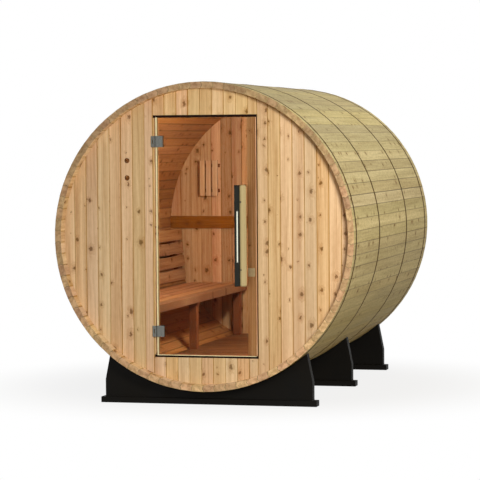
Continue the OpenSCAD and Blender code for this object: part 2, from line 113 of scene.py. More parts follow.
def linear(code):
    """Linear red, green and blue of an sRGB hex colour, with full opacity."""
    parts = [int(code[i : i + 2], 16) / 255 for i in (1, 3, 5)]
    return (*(p / 12.92 if p <= 0.04045 else ((p + 0.055) / 1.055) ** 2.4 for p in parts), 1.0)


def colour(label, about, code):
    """A colour property whose default is an sRGB hex colour."""
    return bpy.props.FloatVectorProperty(
        name=label, description=about, subtype="COLOR", size=4, min=0.0, max=1.0, default=linear(code)
    )


def length(label, about, metres):
    """A length property in metres."""
    return bpy.props.FloatProperty(
        name=label, description=about, unit="LENGTH", min=0.0, default=metres, precision=4
    )


def share(label, about, value):
    """A property from nothing to all."""
    return bpy.props.FloatProperty(
        name=label, description=about, subtype="FACTOR", min=0.0, max=1.0, default=value
    )


def tilt(label, about, radians):
    """An angle property in radians."""
    return bpy.props.FloatProperty(name=label, description=about, subtype="ANGLE", default=radians)


def power(label, about, watts):
    """The power of a lamp in watts."""
    return bpy.props.FloatProperty(name=label, description=about, unit="POWER", min=0.0, default=watts)


class SaunaBarrelSettings(bpy.types.PropertyGroup):
    """Sizes of the barrel's visible edges."""

    stave_count: bpy.props.IntProperty(
        name="Staves", description="Number of staves round the barrel", default=82, min=8
    )
    stave_depth: length("Stave thickness", "Thickness of a stave", 38 * MM)
    stave_gap: length("Stave gap", "Gap left in each joint between staves", 0.3 * MM)
    bead_radius: length("Bead radius", "Radius of the bead along a stave's edge", 12 * MM)
    bead_out: length("Bead height", "How far the bead stands out of the stave's edge", 6 * MM)
    stave_ease: length("Stave easing", "Radius on the long outer edges of a stave", 1.8 * MM)
    end_ease: length("End easing", "Bevel round the sawn end of a stave", 1.4 * MM)
    uneven: length("Unevenness", "How far a stave may sit back from its neighbours", 0.7 * MM)
    croze_depth: length("Croze depth", "Depth of the groove that holds an end wall", 8.4 * MM)
    vent_radius: length("Vent radius", "Radius of a vent hole", 16 * MM)
    vent_side: length("Vent side", "Distance of the vents to the left of the middle", 480 * MM)
    vent_low: length("Lower vent", "Height of the lower vent", 1349 * MM)
    vent_high: length("Upper vent", "Height of the upper vent", 1452 * MM)
    band_depth: length("Band thickness", "Thickness of a hoop", 1.2 * MM)
    band_ease: length("Band easing", "Radius on the rolled edges of a hoop", 0.4 * MM)


class SaunaWoodSettings(bpy.types.PropertyGroup):
    """Colours of the woods."""

    wall_light: colour("Wall early wood", "Pale wood of the end walls", "#EBCB9C")
    wall_dark: colour("Wall late wood", "Darker streaks of the end walls", "#AE7E48")
    stave_light: colour("Stave early wood", "Pale wood outside the barrel", "#CBB986")
    stave_dark: colour("Stave late wood", "Darker streaks outside the barrel", "#8F7B44")
    inside_light: colour("Inside early wood", "Pale wood of the room", "#CC9A62")
    inside_dark: colour("Inside late wood", "Darker streaks in the room", "#94592E")
    rear_light: colour("Rear wall early wood", "Pale wood of the rear wall", "#EDCCA4")
    rear_dark: colour("Rear wall late wood", "Darker streaks of the rear wall", "#B07448")
    # Painted light: the stops are drawn paler than their wood, for light that the lamps don't bring to them.
    stop_light: colour("Stop early wood", "Pale wood of the door stops", "#FFD0A6")
    stop_dark: colour("Stop late wood", "Darker streaks of the door stops", "#CA8A5C")
    batten_light: colour("Batten early wood", "Pale wood of the rear batten", "#B67832")
    batten_dark: colour("Batten late wood", "Darker streaks of the rear batten", "#7A4416")
    shade_light: colour("Lamp shade early wood", "Pale wood of the lamp shade", "#FFE4C4")
    shade_dark: colour("Lamp shade late wood", "Darker streaks of the lamp shade", "#D2A274")
    slat_light: colour("Bench early wood", "Pale wood of the bench and fittings", "#E8BE92")
    slat_dark: colour("Bench late wood", "Darker streaks of the bench and fittings", "#AE744A")
    frame_light: colour("Bench frame early wood", "Pale wood of the bench's legs and bearers", "#B47850")
    frame_dark: colour("Bench frame late wood", "Darker streaks of the bench's legs and bearers", "#783F24")
    deck_light: colour("Deck early wood", "Pale wood of the worn floor", "#B98C62")
    deck_dark: colour("Deck late wood", "Darker streaks of the worn floor", "#784A2C")
    knot: colour("Knot", "Heart of a knot", "#6A4519")
    end_light: colour("End grain, pale", "Pale rings of the sawn stave ends", "#D2AE84")
    end_dark: colour("End grain, dark", "Dark rings of the sawn stave ends", "#A07C56")
    grip_light: colour("Grip wood", "Pale wood of the handles", "#C9B484")
    grip_dark: colour("Grip grain", "Grain of the handles", "#AC945E")


class SaunaMetalSettings(bpy.types.PropertyGroup):
    """Colours of the steel, paint and glass."""

    steel: colour("Steel", "Polished steel of the hinges and the handle", "#70706A")
    mirror: colour("Mirror steel", "Mirror steel of the handle's bar", "#2E2E29")
    nylon: colour("Nylon", "Moulded catch of the door", "#FBF2E2")
    band: colour("Band", "Rolled steel of the hoops", "#4A3512")
    # Painted shade: the brown wire screens darken the vent holes, which hold only shade.
    wire: colour("Wire", "Browned wire of the vent screens", "#5A3413")
    screw: colour("Screw", "Dark screws of the handle", "#4A4640")
    paint: colour("Cradle paint", "Black paint of the cradles", "#0E0C09")
    # Painted highlight: this pale strip stands for the light caught in the glass's polished edges.
    seal: colour("Edge seal", "Milky strip on the edge of the glass", "#F6E8B8")
    gap_shade: colour("Gap seal", "Black strip behind the gap round the glass", "#1C0D05")
    # Painted shade: this black strip stands for the shade in the gap round the glass.
    glass: colour("Glass", "Bronze tint of the door", "#DFD2B8")


class SaunaStageSettings(bpy.types.PropertyGroup):
    """Camera, light and backdrop."""

    camera_at: bpy.props.FloatVectorProperty(
        name="Camera", description="Place of the camera", subtype="XYZ", size=3, unit="LENGTH",
        default=(3.5884, -14.0146, 1.5816),
    )
    camera_yaw: tilt("Yaw", "Turn to the left of looking along the barrel", 0.2566)
    camera_pitch: tilt("Pitch", "Tilt above the horizon", -0.0451)
    camera_roll: tilt("Roll", "Turn about the line of sight", -0.0077)
    lens: bpy.props.FloatProperty(
        name="Lens", description="Focal length on a 36 mm sensor", unit="CAMERA", default=169.55
    )
    key_power: power("Key", "Main lamp", 160.0)
    top_power: power("Top", "Overhead lamp", 80.0)
    side_power: power("Side", "Lamp beside the barrel", 58.0)
    room_power: power("Room", "Lamp in the room", 26.0)
    strip_power: power("Strip", "Narrow lamp mirrored in the handle's bar", 2.2)
    ambient: share("Ambient", "Even light from all round", 0.3)
    shadow: share("Shadow", "How much of the shadow shows on the floor", 0.14)


def feed(tree, node, inputs):
    """Sets the inputs of a node, or links them to the outputs given."""
    for socket, value in inputs.items():
        if isinstance(value, bpy.types.NodeSocket):
            tree.links.new(value, node.inputs[socket])
        else:
            node.inputs[socket].default_value = value


def add(tree, kind, inputs=None, out=0, **settings):
    """Adds a shader node with its settings and inputs, and gives one of its outputs, or for None all."""
    node = tree.nodes.new(f"ShaderNode{kind}")
    for key, value in settings.items():
        setattr(node, key, value)
    feed(tree, node, inputs or {})
    return node.outputs if out is None else node.outputs[out]


def new_material(name):
    """A new material, its node tree and its surface shader."""
    material = bpy.data.materials.new(name)
    material.use_nodes = True
    tree = material.node_tree
    return material, tree, tree.nodes["Principled BSDF"]


def emptied_tree(owner):
    """The node tree of a material or world, with nothing in it."""
    owner.use_nodes = True
    owner.node_tree.nodes.clear()
    return owner.node_tree


def uneven(tree, pattern, tint, shades, gloss):
    """A colour and a roughness that follow a noise, each from its low places to its high ones."""
    shade, rough = (
        add(tree, "MapRange", {0: pattern, 1: NOISE_LOW, 2: NOISE_HIGH, 3: low, 4: high})
        for low, high in (shades, gloss)
    )
    tinted = add(tree, "HueSaturation", {"Value": shade, "Color": tint})
    return {"Base Color": tinted, "Roughness": rough}


# Planed cedar: pale early wood and darker late wood in streaks along the board, with sound dark knots
# that push the lines aside. Each board was cut from another log, so tone and figure change at a joint.
# The lines are drawn about 22 mm apart, coarser than real rings, which would not show at this distance.
# Dust and shade gather in the joints, so a board darkens in its last millimetres.
def planed_cedar(
    name, light, dark, knot, ring=22 * MM, cell=70 * MM, knots=0.6, spread=0.09, rough=0.55, seam=0.5,
    flecks=0.1, tint=0.006, figure=0.3, stain=0.0
):
    """Cedar, planed: grain and knots in each board's own coordinates."""
    material, tree, surface = new_material(name)
    place = add(tree, "Attribute", None, "Vector", attribute_name="grain")
    board = add(tree, "Attribute", None, "Fac", attribute_name="board")
    half = add(tree, "Attribute", None, "Fac", attribute_name="half")
    own = add(tree, "VectorMath", {0: board, 1: LOG_STEP, 2: place}, operation="MULTIPLY_ADD")

    ragged = add(tree, "TexNoise", {"Vector": own, "Scale": 1 / KNOT_RAG, "Detail": 1.0}, "Color")
    push = (KNOT_PUSH, KNOT_PUSH, 0.0)
    pushed = add(tree, "VectorMath", {0: ragged, 1: push, 2: own}, operation="MULTIPLY_ADD")
    knot_scale = (1 / cell, KNOT_STRETCH / cell, 0.0)
    knot_place = add(tree, "VectorMath", {0: pushed, 1: knot_scale}, operation="MULTIPLY")
    cells = add(tree, "TexVoronoi", {"Vector": knot_place, "Scale": 1.0}, None, voronoi_dimensions="2D")
    chance = add(tree, "SeparateColor", {0: cells["Color"]})
    radius = add(tree, "MapRange", {0: chance, 1: 1 - knots, 2: 1.0, 3: KNOT_SMALL, 4: KNOT_LARGE})
    reach = add(tree, "Math", {0: cells["Distance"], 1: radius}, operation="DIVIDE")
    core, halo = (
        add(
            tree, "MapRange", {0: reach, 1: inner, 2: outer, 3: 1.0, 4: 0.0},
            interpolation_type="SMOOTHSTEP",
        )
        for inner, outer in (KNOT_CORE, KNOT_HALO)
    )

    noises = []
    for wide, long, detail in (GRAIN_DRIFT, GRAIN_FIBRE, GRAIN_FLECK):
        scaled = add(tree, "VectorMath", {0: own, 1: (1 / wide, 1 / long, 0.0)}, operation="MULTIPLY")
        inputs = {"Vector": scaled, "Scale": 1.0, "Detail": detail}
        noise = add(tree, "TexNoise", inputs, noise_dimensions="2D")
        noises.append(add(tree, "MapRange", {0: noise, 1: NOISE_LOW, 2: NOISE_HIGH}))
    drift, fibre, fleck = noises

    across = add(tree, "SeparateXYZ", {0: own})
    count = add(tree, "Math", {0: across, 1: ring}, operation="DIVIDE")
    for pattern, bend in ((drift, DRIFT_BEND), (halo, HALO_BEND)):
        count = add(tree, "Math", {0: pattern, 1: bend, 2: count}, operation="MULTIPLY_ADD")
    turn = add(tree, "Math", {0: count, 1: math.tau}, operation="MULTIPLY")
    wave = add(tree, "Math", {0: turn}, operation="SINE")
    lines = add(tree, "MapRange", {0: wave, 1: -0.2, 2: 1.0})
    tone = add(tree, "Math", {0: lines, 1: figure}, operation="MULTIPLY")
    for pattern, weight in ((fibre, figure), (drift, DRIFT_PART), (fleck, flecks)):
        tone = add(tree, "Math", {0: pattern, 1: weight, 2: tone}, operation="MULTIPLY_ADD")

    paint = add(tree, "Mix", {0: tone, 6: light, 7: dark}, 2, data_type="RGBA")
    for pattern, weight, over in ((halo, HALO_PART, dark), (core, CORE_PART, knot)):
        part = add(tree, "Math", {0: pattern, 1: weight}, operation="MULTIPLY")
        paint = add(tree, "Mix", {0: part, 6: paint, 7: over}, 2, data_type="RGBA")

    chances = add(tree, "TexWhiteNoise", {"W": board}, "Color", noise_dimensions="1D")
    parts = add(tree, "SeparateColor", {0: chances}, None)
    hue = add(tree, "MapRange", {0: parts[0], 3: HUE_LOW - tint, 4: HUE_HIGH + tint})
    rich = add(tree, "MapRange", {0: parts[1], 3: 1 - TINT_RICH * tint, 4: 1 + TINT_RICH * tint})
    value = add(tree, "MapRange", {0: parts[2], 3: 1 - spread, 4: 1 + spread})
    side = add(tree, "SeparateXYZ", {0: place})
    off = add(tree, "Math", {0: side}, operation="ABSOLUTE")
    margin = add(tree, "Math", {0: half, 1: off}, operation="SUBTRACT")
    depth = add(tree, "MapRange", {0: parts[0], 3: seam, 4: JOINT_PALE})
    joint = add(tree, "MapRange", {0: margin, 1: -JOINT_SHADE, 2: JOINT_SHADE, 3: depth, 4: 1.0})
    value = add(tree, "Math", {0: value, 1: joint}, operation="MULTIPLY")
    # Dust and painted shade in a joint darken it and deepen its colour.
    dirt_and_shade = add(tree, "Math", {0: 1.0, 1: joint}, operation="SUBTRACT")
    rich = add(tree, "Math", {0: dirt_and_shade, 1: stain, 2: rich}, operation="MULTIPLY_ADD")
    feed(tree, surface, {
        "Base Color": add(
            tree, "HueSaturation", {"Hue": hue, "Saturation": rich, "Value": value, "Color": paint}
        ),
        "Roughness": add(tree, "MapRange", {0: tone, 3: rough + 0.08, 4: rough - 0.08}),
        "Specular IOR Level": 0.25,
        "Normal": add(tree, "Bump", {"Strength": 0.25, "Distance": 0.6 * MM, "Height": tone}),
    })
    return material


# Sawn cedar end grain: arcs of growth rings across each stave end, blotched where the weather got in.
# The ring is painted lighter towards the bottom and darker towards the crown, as painted light and shade.
# The rings are drawn 6 mm apart, coarser than real ones, so that they show.
def sawn_end_grain(name, light, dark, ring=6 * MM, grit_size=6 * MM, blotch_size=26 * MM):
    """Cedar end grain, sawn."""
    material, tree, surface = new_material(name)
    place = add(tree, "Attribute", None, "Vector", attribute_name="grain")
    board = add(tree, "Attribute", None, "Fac", attribute_name="board")
    chances = add(tree, "TexWhiteNoise", {"W": board}, "Color", noise_dimensions="1D")
    # The pith of each stave's log lies 50 to 110 mm in from the stave's middle, towards the room.
    pith = add(
        tree, "VectorMath", {0: chances, 1: (0.12, 0.0, 0.06), 2: (-0.06, 0.0, 0.05)},
        operation="MULTIPLY_ADD",
    )
    spot = add(tree, "VectorMath", {0: place, 1: pith}, operation="ADD")
    face = add(tree, "VectorMath", {0: spot, 1: (1.0, 0.0, 1.0)}, operation="MULTIPLY")
    far = add(tree, "VectorMath", {0: face}, "Value", operation="LENGTH")
    grit = add(tree, "TexNoise", {"Vector": spot, "Scale": 1 / grit_size, "Detail": 3.0})
    count = add(tree, "Math", {0: far, 1: ring}, operation="DIVIDE")
    count = add(tree, "Math", {0: grit, 1: 0.8, 2: count}, operation="MULTIPLY_ADD")
    turn = add(tree, "Math", {0: count, 1: math.tau}, operation="MULTIPLY")
    wave = add(tree, "Math", {0: turn}, operation="SINE")
    lines = add(tree, "MapRange", {0: wave, 1: -1.0, 2: 1.0, 3: 0.0, 4: 0.25})
    blotch = add(tree, "TexNoise", {"Vector": spot, "Scale": 1 / blotch_size, "Detail": 2.0})
    stain = add(tree, "MapRange", {0: blotch, 1: 0.38, 2: 0.66, 3: 0.0, 4: 0.9})
    tone = add(tree, "Math", {0: lines, 1: stain}, operation="ADD")
    tone = add(tree, "Math", {0: grit, 1: 0.25, 2: tone}, operation="MULTIPLY_ADD")
    body = add(tree, "Mix", {0: tone, 6: light, 7: dark}, 2, data_type="RGBA")
    parts = add(tree, "SeparateColor", {0: chances}, None)
    own = add(tree, "MapRange", {0: parts[1], 3: 0.8, 4: 1.2})
    hue = add(tree, "MapRange", {0: parts[0], 3: 0.49, 4: 0.512})
    height = add(tree, "SeparateXYZ", {0: add(tree, "TexCoord", None, "Object")}, 2)
    # Painted light and shade: lighter towards the bottom, darker towards the crown.
    worn = add(tree, "MapRange", {0: height, 1: BOTTOM_LOW.z, 2: CROWN_HIGH.z, 3: 1.3, 4: 0.78})
    value = add(tree, "Math", {0: own, 1: worn}, operation="MULTIPLY")
    feed(tree, surface, {
        "Base Color": add(tree, "HueSaturation", {"Hue": hue, "Value": value, "Color": body}),
        "Roughness": 0.75,
        "Normal": add(tree, "Bump", {"Strength": 0.4, "Distance": 0.5 * MM, "Height": tone}),
    })
    return material


# Polished stainless steel: a bright mirror softened by fine polishing lines up the piece.
# The lines are drawn 1.5 mm apart, coarser than real ones, so that they show. The handle's screws
# have the same surface in a darker, duller tone.
def polished_steel(name, tint, rough, line=1.5 * MM, stroke=80 * MM):
    """Stainless steel, polished."""
    material, tree, surface = new_material(name)
    place = add(tree, "TexCoord", None, "Object")
    scaled = add(tree, "VectorMath", {0: place, 1: (1 / line, 1 / line, 1 / stroke)}, operation="MULTIPLY")
    lines = add(tree, "TexNoise", {"Vector": scaled, "Scale": 1.0, "Detail": 2.0})
    feed(tree, surface, uneven(tree, lines, tint, (0.9, 1.1), (rough * 0.7, rough * 1.4)))
    feed(tree, surface, {"Metallic": 1.0})
    return material


# Cold-rolled steel under a thin brown coat of oxide: no bare metal shows, so it is dull and dark, and
# a little uneven from handling and weather.
def rolled_band(name, tint, smear_size=70 * MM):
    """Steel band, cold rolled."""
    material, tree, surface = new_material(name)
    place = add(tree, "TexCoord", None, "Object")
    smear = add(tree, "TexNoise", {"Vector": place, "Scale": 1 / smear_size, "Detail": 4.0})
    feed(tree, surface, uneven(tree, smear, tint, (0.75, 1.25), (0.45, 0.65)))
    feed(tree, surface, {"Specular IOR Level": 0.02})
    return material


# Black paint brushed on planed timber: the timber's grain stands up faintly under a satin film.
def brushed_black_paint(name, tint, grain_size=(200 * MM, 16 * MM, 6 * MM), dust_size=140 * MM):
    """Black paint, brushed on timber."""
    material, tree, surface = new_material(name)
    place = add(tree, "TexCoord", None, "Object")
    along = add(tree, "VectorMath", {0: place, 1: [1 / size for size in grain_size]}, operation="MULTIPLY")
    grain = add(tree, "TexNoise", {"Vector": along, "Scale": 1.0, "Detail": 4.0})
    dust = add(tree, "TexNoise", {"Vector": place, "Scale": 1 / dust_size, "Detail": 3.0})
    feed(tree, surface, uneven(tree, dust, tint, (0.8, 1.5), (0.5, 0.68)))
    feed(tree, surface, {
        "Specular IOR Level": 0.1,
        "Normal": add(tree, "Bump", {"Strength": 0.35, "Distance": 0.8 * MM, "Height": grain}),
    })
    return material


# Smooth mottled finish: a smooth soft strip with a faint mottle. The catch's moulded nylon looks alike.
# It also colours the black strip of painted shade in the gap and the pale strip of painted highlight on the
# glass's edges.
def smooth_mottled(name, tint, rough, mottle_size=16 * MM):
    """Smooth strip with a faint mottle: nylon, painted gap shade and painted edge highlight."""
    material, tree, surface = new_material(name)
    place = add(tree, "TexCoord", None, "Object")
    mottle = add(tree, "TexNoise", {"Vector": place, "Scale": 1 / mottle_size, "Detail": 3.0})
    feed(tree, surface, uneven(tree, mottle, tint, (0.92, 1.05), (rough - 0.05, rough + 0.05)))
    feed(tree, surface, {"Specular IOR Level": 0.2})
    return material


# Bronze float glass, toughened, with polished edges: clear, warm brown, with the faintest wipe marks.
# Its IOR is set below that of real glass, so that the white surroundings don't veil the room behind it.
def bronze_glass(name, tint, wipe_size=200 * MM):
    """Bronze float glass, polished."""
    material, tree, surface = new_material(name)
    place = add(tree, "TexCoord", None, "Object")
    wiped = add(tree, "TexNoise", {"Vector": place, "Scale": 1 / wipe_size, "Detail": 3.0})
    feed(tree, surface, {
        "Base Color": tint,
        "Roughness": add(tree, "MapRange", {0: wiped, 1: 0.5, 2: 0.8, 3: 0.0, 4: 0.02}),
        "IOR": 1.12,
        "Transmission Weight": 1.0,
    })
    return material


def finish_for(name):
    """The material of that name, made on first use from the scene's settings."""
    found = bpy.data.materials.get(name)
    if found:
        return found
    wood = bpy.context.scene.sauna_wood
    metal = bpy.context.scene.sauna_metal
    cedars = {
        "cedar_wall_planed": ("wall", {
            "knots": 0.5, "spread": 0.12, "tint": 0.008, "figure": 0.17, "stain": 0.9,
        }),
        "cedar_stave_weathered": ("stave", {
            "knots": 0.35, "spread": 0.13, "rough": 0.7, "seam": 0.35, "flecks": 0.3, "tint": 0.004,
            "figure": 0.14,
        }),
        "cedar_room_planed": ("inside", {"spread": 0.22, "seam": 0.3, "figure": 0.2}),
        "cedar_rear_wall_planed": ("rear", {"spread": 0.22, "seam": 0.4, "figure": 0.2, "stain": 0.6}),
        "cedar_stop_painted_light": ("stop", {"knots": 0.2}),
        "cedar_batten_planed": ("batten", {}),
        "cedar_shade_planed": ("shade", {"knots": 0.1, "seam": 0.3}),
        "cedar_frame_planed": ("frame", {"knots": 0.2}),
        "cedar_deck_worn": ("deck", {"spread": 0.22, "seam": 0.1, "flecks": 0.45, "figure": 0.4}),
        "cedar_slat_planed": ("slat", {"knots": 0.3, "spread": 0.12}),
        "basswood_grip_sanded": ("grip", {
            "knot": wood.grip_dark, "ring": 7 * MM, "knots": 0.02, "spread": 0.03, "rough": 0.5,
        }),
    }
    if name in cedars:
        pair, options = cedars[name]
        light, dark = getattr(wood, f"{pair}_light"), getattr(wood, f"{pair}_dark")
        return planed_cedar(name, light, dark, **{"knot": wood.knot, **options})
    makers = {
        "cedar_end_grain_sawn": lambda: sawn_end_grain(name, wood.end_light, wood.end_dark),
        "stainless_steel_polished": lambda: polished_steel(name, metal.steel, 0.2),
        "stainless_steel_mirror": lambda: polished_steel(name, metal.mirror, 0.02),
        "steel_screw_blackened": lambda: polished_steel(name, metal.screw, 0.4),
        "brown_wire_painted_vent_shade": lambda: rolled_band(name, metal.wire),
        "steel_band_rolled": lambda: rolled_band(name, metal.band),
        "black_paint_brushed": lambda: brushed_black_paint(name, metal.paint),
        "nylon_catch_moulded": lambda: smooth_mottled(name, metal.nylon, 0.5),
        "pale_strip_painted_edge_highlight": lambda: smooth_mottled(name, metal.seal, 0.5),
        "black_strip_painted_gap_shade": lambda: smooth_mottled(name, metal.gap_shade, 0.7),
        "bronze_glass_polished": lambda: bronze_glass(name, metal.glass),
    }
    return makers[name]()


def islands(bm):
    """Lists of connected vertices, in a fixed order."""
    seen = set()
    groups = []
    for start in bm.verts:
        if start in seen:
            continue
        seen.add(start)
        group = [start]
        for vert in group:
            for edge in vert.link_edges:
                other = edge.other_vert(vert)
                if other not in seen:
                    seen.add(other)
                    group.append(other)
        groups.append(group)
    return sorted(groups, key=lambda g: tuple(round(c, 4) for c in sum((v.co for v in g), Vector()) / len(g)))


def grain_layers(bm):
    """New layers for a vertex's place on its board, the board's number and the board's half width."""
    layers = bm.verts.layers
    return layers.float_vector.new("grain"), layers.float.new("board"), layers.float.new("half")


def mark_grain(bm, along, seed):
    """Writes the layers of grain for each vertex of each board."""
    grain, board, half = grain_layers(bm)
    chance = random.Random(seed)
    others = [axis for axis in range(3) if axis != along]
    for group in islands(bm):
        number = chance.random()
        low = [min(v.co[axis] for v in group) for axis in range(3)]
        high = [max(v.co[axis] for v in group) for axis in range(3)]
        across, through = sorted(others, key=lambda axis: low[axis] - high[axis])
        face = [v.co[across] for v in group if v.co[through] - low[through] < FACE_REACH]
        middle = (min(face) + max(face)) / 2
        for vert in group:
            vert[grain] = (
                vert.co[across] - middle,
                vert.co[along],
                vert.co[through] - (low[through] + high[through]) / 2,
            )
            vert[board] = number
            vert[half] = (max(face) - min(face)) / 2


def cleaned_copy(node):
    """A node's mesh with its split vertices joined and its flat faces whole."""
    bm = bmesh.new()
    bm.from_mesh(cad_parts[node].data)
    bmesh.ops.remove_doubles(bm, verts=bm.verts, dist=WELD_REACH)
    bmesh.ops.dissolve_limit(bm, angle_limit=FLAT_ANGLE, verts=bm.verts, edges=bm.edges)
    return bm


def ease_edges(bm, size, steps=3):
    """Rounds the sharp edges of a mesh."""
    sharp = [e for e in bm.edges if len(e.link_faces) == 2 and e.calc_face_angle(0.0) > SHARP_ANGLE]
    bmesh.ops.bevel(
        bm, geom=sharp, offset=size, segments=steps, profile=0.5, affect="EDGES", clamp_overlap=True
    )


def place_piece(bm, name, body, finishes, nodes=()):
    """Turns a mesh into a named piece that rides on a body and stands for the nodes given."""
    bmesh.ops.recalc_face_normals(bm, faces=bm.faces)
    mesh = bpy.data.meshes.new(name)
    bm.to_mesh(mesh)
    bm.free()
    for finish in finishes:
        mesh.materials.append(finish_for(finish))
    mesh.polygons.foreach_set("use_smooth", [True] * len(mesh.polygons))
    mesh.set_sharp_from_angle(angle=CREASE_ANGLE)
    piece = bpy.data.objects.new(name, mesh)
    bpy.context.scene.collection.objects.link(piece)
    piece.modifiers.new("Even shading", "WEIGHTED_NORMAL").keep_sharp = True
    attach(piece, body)
    if nodes:
        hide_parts(*nodes)


def dress(node, body, finish, along=2, ease=1.5 * MM, behind=None):
    """Copies a CAD node, eases its edges, marks its grain and puts it in the node's place.

    Faces that look to the rear take the finish named in behind, where there is one.
    """
    bm = cleaned_copy(node)
    if ease:
        ease_edges(bm, ease)
    mark_grain(bm, along, node)
    finishes = [finish]
    if behind:
        finishes.append(behind)
        bm.normal_update()
        for face in bm.faces:
            face.material_index = int(face.normal.y > 0.5)
    place_piece(bm, f"{node}_dressed", body, finishes, [node])


def add_block(bm, low, high):
    """Adds a block between two corners."""
    size = Vector(high) - Vector(low)
    made = bmesh.ops.create_cube(bm, size=1.0)
    for vert in made["verts"]:
        vert.co = Vector(low) + Vector((c + 0.5) * s for c, s in zip(vert.co, size))


def bridge(bm, ring, after):
    """Adds the faces between two rings of vertices, and gives them in the order of the vertices."""
    ahead = [*range(1, len(ring)), 0]
    return [bm.faces.new((ring[i], ring[j], after[j], after[i])) for i, j in enumerate(ahead)]


def turned(bm, at, axis, profile, sides=24):
    """Adds a turned solid: profile is a list of radius and height pairs along the axis from a point."""
    turn = Vector((0, 0, 1)).rotation_difference(axis).to_matrix()
    rows = []
    for radius, height in profile:
        row = []
        for i in range(sides):
            angle = math.tau * i / sides
            spot = Vector((radius * math.cos(angle), radius * math.sin(angle), height))
            row.append(bm.verts.new(at + turn @ spot))
        rows.append(row)
    for low, high in zip(rows, rows[1:]):
        bridge(bm, low, high)
    bm.faces.new(rows[0])
    bm.faces.new(rows[-1])


def socket_screw(bm, at, axis, radius):
    """Adds a low screw head with a socket in its top, seated a little below the surface."""
    turned(bm, at, axis, [
        (radius * 0.9, -1.0 * MM),
        (radius, 0.2 * MM),
        (radius * 0.92, 0.9 * MM),
        (radius * 0.5, 1.3 * MM),
        (radius * 0.42, 1.2 * MM),
        (radius * 0.4, 0.1 * MM),
    ])


def stave_outline(settings, croze):
    """Outline of a stave across its length, as pairs of across and height above the barrel's axis."""
    half = math.pi / settings.stave_count
    outer = BARREL_R * math.cos(half)
    inner = outer - settings.stave_depth
    middle = (outer + inner) / 2
    trim = settings.stave_gap / 2
    ease = settings.stave_ease
    floor = inner + (settings.croze_depth if croze else 0.0)
    half_out = outer * math.tan(half) - trim
    half_in = floor * math.tan(half) - trim
    small = ease / 2
    points = [(-half_in + small, floor), (half_in - small, floor), (half_in, floor + small)]
    back = settings.bead_out - settings.bead_radius
    bead_step, ease_step = math.radians(14.85), math.radians(30)
    cos, sin = math.cos(half), math.sin(half)
    # The bead's side runs up to the outer edge, and the cove's side runs down from it.
    for way, radius in ((1, settings.bead_radius), (-1, settings.bead_radius + settings.stave_gap)):
        side = []
        for step in range(-4, 5):
            turn = bead_step * step
            x = back + radius * math.cos(turn) - way * trim
            y = middle + radius * math.sin(turn)
            side.append((x * cos + way * y * sin, y * cos - way * x * sin))
        for step in range(4):
            turn = ease_step * step
            x = half_out - ease + ease * math.cos(turn)
            side.append((way * x, outer - ease + ease * math.sin(turn)))
        points += side[::way]
    points.append((-half_in, floor + small))
    return points, middle


def add_stave(bm, settings, number, layers, chance):
    """Adds one stave with its crozes, eased edges and sawn ends."""
    grain, board, half = layers
    whole, middle = stave_outline(settings, False)
    cut, _ = stave_outline(settings, True)
    sink = chance.uniform(0, settings.uneven)
    ease = settings.end_ease
    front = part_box("staves_crown")[0].y + chance.uniform(0, 2 * settings.uneven)
    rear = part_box("staves_crown")[1].y - chance.uniform(0, 2 * settings.uneven)
    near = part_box("front_wall_left")
    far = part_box("rear_wall_left")
    outer_half = max(x for x, _ in whole) - settings.bead_out - settings.stave_ease
    # Joints in the dim room are drawn about 6 mm wide, wider than real ones, so that they show.
    inner_half = whole[1][0] - ROOM_JOINT
    half_wide, half_deep = 35 * MM, 19 * MM
    inset = [
        (x * (1 - ease / half_wide), middle + (y - middle) * (1 - ease / half_deep)) for x, y in whole
    ]
    gap = settings.stave_gap
    rows = [(front, inset), (front + ease, whole)]
    for low, high in (near, far):
        rows += [(low.y - gap, whole), (low.y - gap, cut), (high.y + gap, cut), (high.y + gap, whole)]
    rows += [(rear - ease, whole), (rear, inset)]
    angle = (number + 0.5) * math.tau / settings.stave_count
    out = Vector((math.sin(angle), 0, math.cos(angle)))
    side = Vector((math.cos(angle), 0, -math.sin(angle)))
    seed = chance.random()
    rings = []
    for y, outline in rows:
        ring = []
        for x, z in outline:
            spot = side * x + out * (z - sink)
            vert = bm.verts.new((spot.x, y, AXIS_Z + spot.z))
            vert[grain] = (x, y, z - middle)
            vert[board] = seed
            vert[half] = outer_half if z > middle else inner_half
            ring.append(vert)
        rings.append(ring)
    # The inner faces beyond the end walls are seen from outside, so they take the wall's finish.
    lips = (*rings[:2], *rings[-3:])
    for near_ring, far_ring in zip(rings, rings[1:]):
        faces = bridge(bm, near_ring, far_ring)
        for face in (faces[0], faces[1], faces[-1]):
            face.material_index = LIP_FINISH if near_ring in lips else ROOM_FINISH
    for ring in (rings[0], rings[-1]):
        bm.faces.new(ring).material_index = END_FINISH


class SAUNA_OT_staves(bpy.types.Operator):
    """Builds every stave of the barrel with eased edges, crozes and sawn ends."""

    bl_idname = "sauna.staves"
    bl_label = "Staves"

    def execute(self, context):
        settings = context.scene.sauna_barrel
        finishes = (
            "cedar_stave_weathered", "cedar_end_grain_sawn", "cedar_room_planed", "cedar_wall_planed"
        )
        groups = len(STAVE_NODES)
        count = settings.stave_count
        for index, node in enumerate(STAVE_NODES):
            bm = bmesh.new()
            layers = grain_layers(bm)
            chance = random.Random(node)
            for number in range(count):
                turned_to = (number + count / (2 * groups)) % count
                if math.floor(turned_to * groups / count) == index:
                    add_stave(bm, settings, number, layers, chance)
            place_piece(bm, f"{node}_planed", ROOT, finishes, [node])
        return {"FINISHED"}


